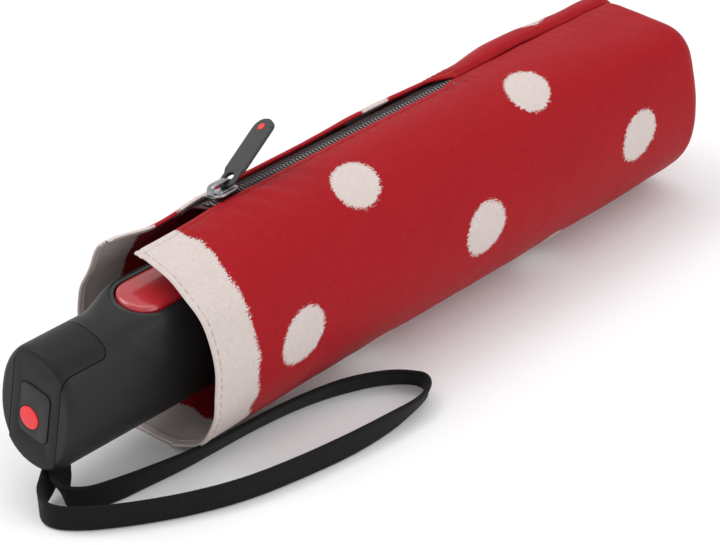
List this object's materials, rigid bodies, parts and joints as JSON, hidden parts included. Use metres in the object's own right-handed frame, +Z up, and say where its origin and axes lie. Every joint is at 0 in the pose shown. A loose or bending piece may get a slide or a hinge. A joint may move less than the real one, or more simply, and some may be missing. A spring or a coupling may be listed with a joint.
{
  "type": "folding umbrella",
  "caption": "Automatic folding pocket umbrella with a black oval handle, red push button and wrist strap, pushed into its red zip case with pale dots and a pale band.",
  "frame": {"origin": "centre of the underside of the box around the closed umbrella in its case, strap left out", "axes": "+X from the handle's end to the case's closed end, +Z up from the surface it lies on"},
  "size_m": [0.2978, 0.0875, 0.0803],
  "materials": {
    "handle_grip": "soft-touch matt black",
    "handle_strip": "fine satin black",
    "badge_black": "gloss black",
    "badge_red": "gloss red",
    "button_red": "gloss red",
    "moulded_black": "moulded satin black",
    "tube_steel": "drawn steel",
    "rib_steel": "rolled steel channel",
    "bright_steel": "bright plated",
    "strap_webbing": "ribbed black webbing",
    "canopy_cloth": "red woven polyester with pale dots",
    "case_cloth": "red woven polyester with pale dots and a pale band at the mouth",
    "hem_cloth": "beige lining",
    "zip_tape": "dark red woven tape",
    "zip_coil": "dark grey nylon",
    "slider_metal": "gunmetal",
    "pull_rubber": "moulded dark grey",
    "pull_red": "gloss red"
  },
  "bodies": {
    "case": {"case_mouth": "case_cloth", "case_body": "case_cloth", "case_end": "case_cloth", "mouth_hem": "hem_cloth", "zip_tape_left": "zip_tape", "zip_tape_right": "zip_tape", "zip_coil_left": "zip_coil", "zip_coil_right": "zip_coil", "zip_stops": "zip_coil"},
    "zip_slider": {"zip_slider": "slider_metal"},
    "zip_pull": {"zip_pull": "pull_rubber", "pull_mark": "pull_red"},
    "canopy_head": {"upper_tube": "tube_steel", "main_spring": "bright_steel", "crown": "moulded_black", "crown_wire": "bright_steel", "crown_cap": "moulded_black", "runner": "moulded_black", "runner_wire": "bright_steel", "stretchers": "rib_steel", "top_rib_1": "rib_steel", "top_rib_2": "rib_steel", "top_rib_3": "rib_steel", "top_rib_4": "rib_steel", "top_rib_5": "rib_steel", "top_rib_6": "rib_steel", "top_rib_7": "rib_steel", "top_rib_8": "rib_steel", "middle_rib_1": "rib_steel", "middle_rib_2": "rib_steel", "middle_rib_3": "rib_steel", "middle_rib_4": "rib_steel", "middle_rib_5": "rib_steel", "middle_rib_6": "rib_steel", "middle_rib_7": "rib_steel", "middle_rib_8": "rib_steel", "end_ribs": "rib_steel", "rib_tips": "moulded_black", "rib_knuckles": "moulded_black", "rib_rivets": "bright_steel", "folded_canopy": "canopy_cloth", "canopy_tie": "canopy_cloth", "tie_snap": "bright_steel"},
    "middle_tube": {"middle_tube": "tube_steel"},
    "handle": {"handle_shell": "handle_grip", "end_strip": "handle_strip", "badge_plate": "badge_black", "badge_dot": "badge_red", "button_collar": "moulded_black", "button_spring": "bright_steel", "latch_pin": "bright_steel", "strap_anchor": "moulded_black", "wrist_strap": "strap_webbing", "rib_tip_cup": "moulded_black", "tube_pin": "bright_steel", "lower_tube": "tube_steel", "lower_tube_ring": "moulded_black"},
    "push_button": {"push_button": "button_red"},
    "latch_lever": {"latch_lever": "bright_steel"}
  },
  "joints": [
    {"name": "draw_from_case", "type": "slide", "parent": "case", "child": "canopy_head", "axis": [-1, 0, 0], "range_m": [0, 0.24]},
    {"name": "shaft_extend", "type": "slide", "parent": "canopy_head", "child": "handle", "axis": [-1, 0, 0], "range_m": [0, 0.32]},
    {"name": "middle_tube_extend", "type": "slide", "parent": "canopy_head", "child": "middle_tube", "axis": [-1, 0, 0], "range_m": [0, 0.16]},
    {"name": "button_press", "type": "slide", "parent": "handle", "child": "push_button", "axis": [0, 0.1736, -0.9848], "range_m": [0, 0.0025], "stiffness_N_per_m": 500, "deforming": ["button_spring"]},
    {"name": "latch_turn", "type": "hinge", "parent": "handle", "child": "latch_lever", "pos_m": [-0.0779, -0.00203, 0.04252], "axis": [0, -0.9848, -0.1736], "range_deg": [0, 8.88]},
    {"name": "zip_slide", "type": "slide", "parent": "case", "child": "zip_slider", "axis": [1, 0, 0], "range_m": [0, 0.102]},
    {"name": "zip_pull_turn", "type": "hinge", "parent": "zip_slider", "child": "zip_pull", "pos_m": [-0.0529, 0.01047, 0.06684], "axis": [0, -0.9563, 0.2924], "range_deg": [-25, 105]}
  ],
  "couplings": [
    {"joint": "middle_tube_extend", "follows": "shaft_extend", "ratio": 0.5},
    {"joint": "latch_turn", "follows": "button_press", "rad_per_m": 61.8}
  ]
}
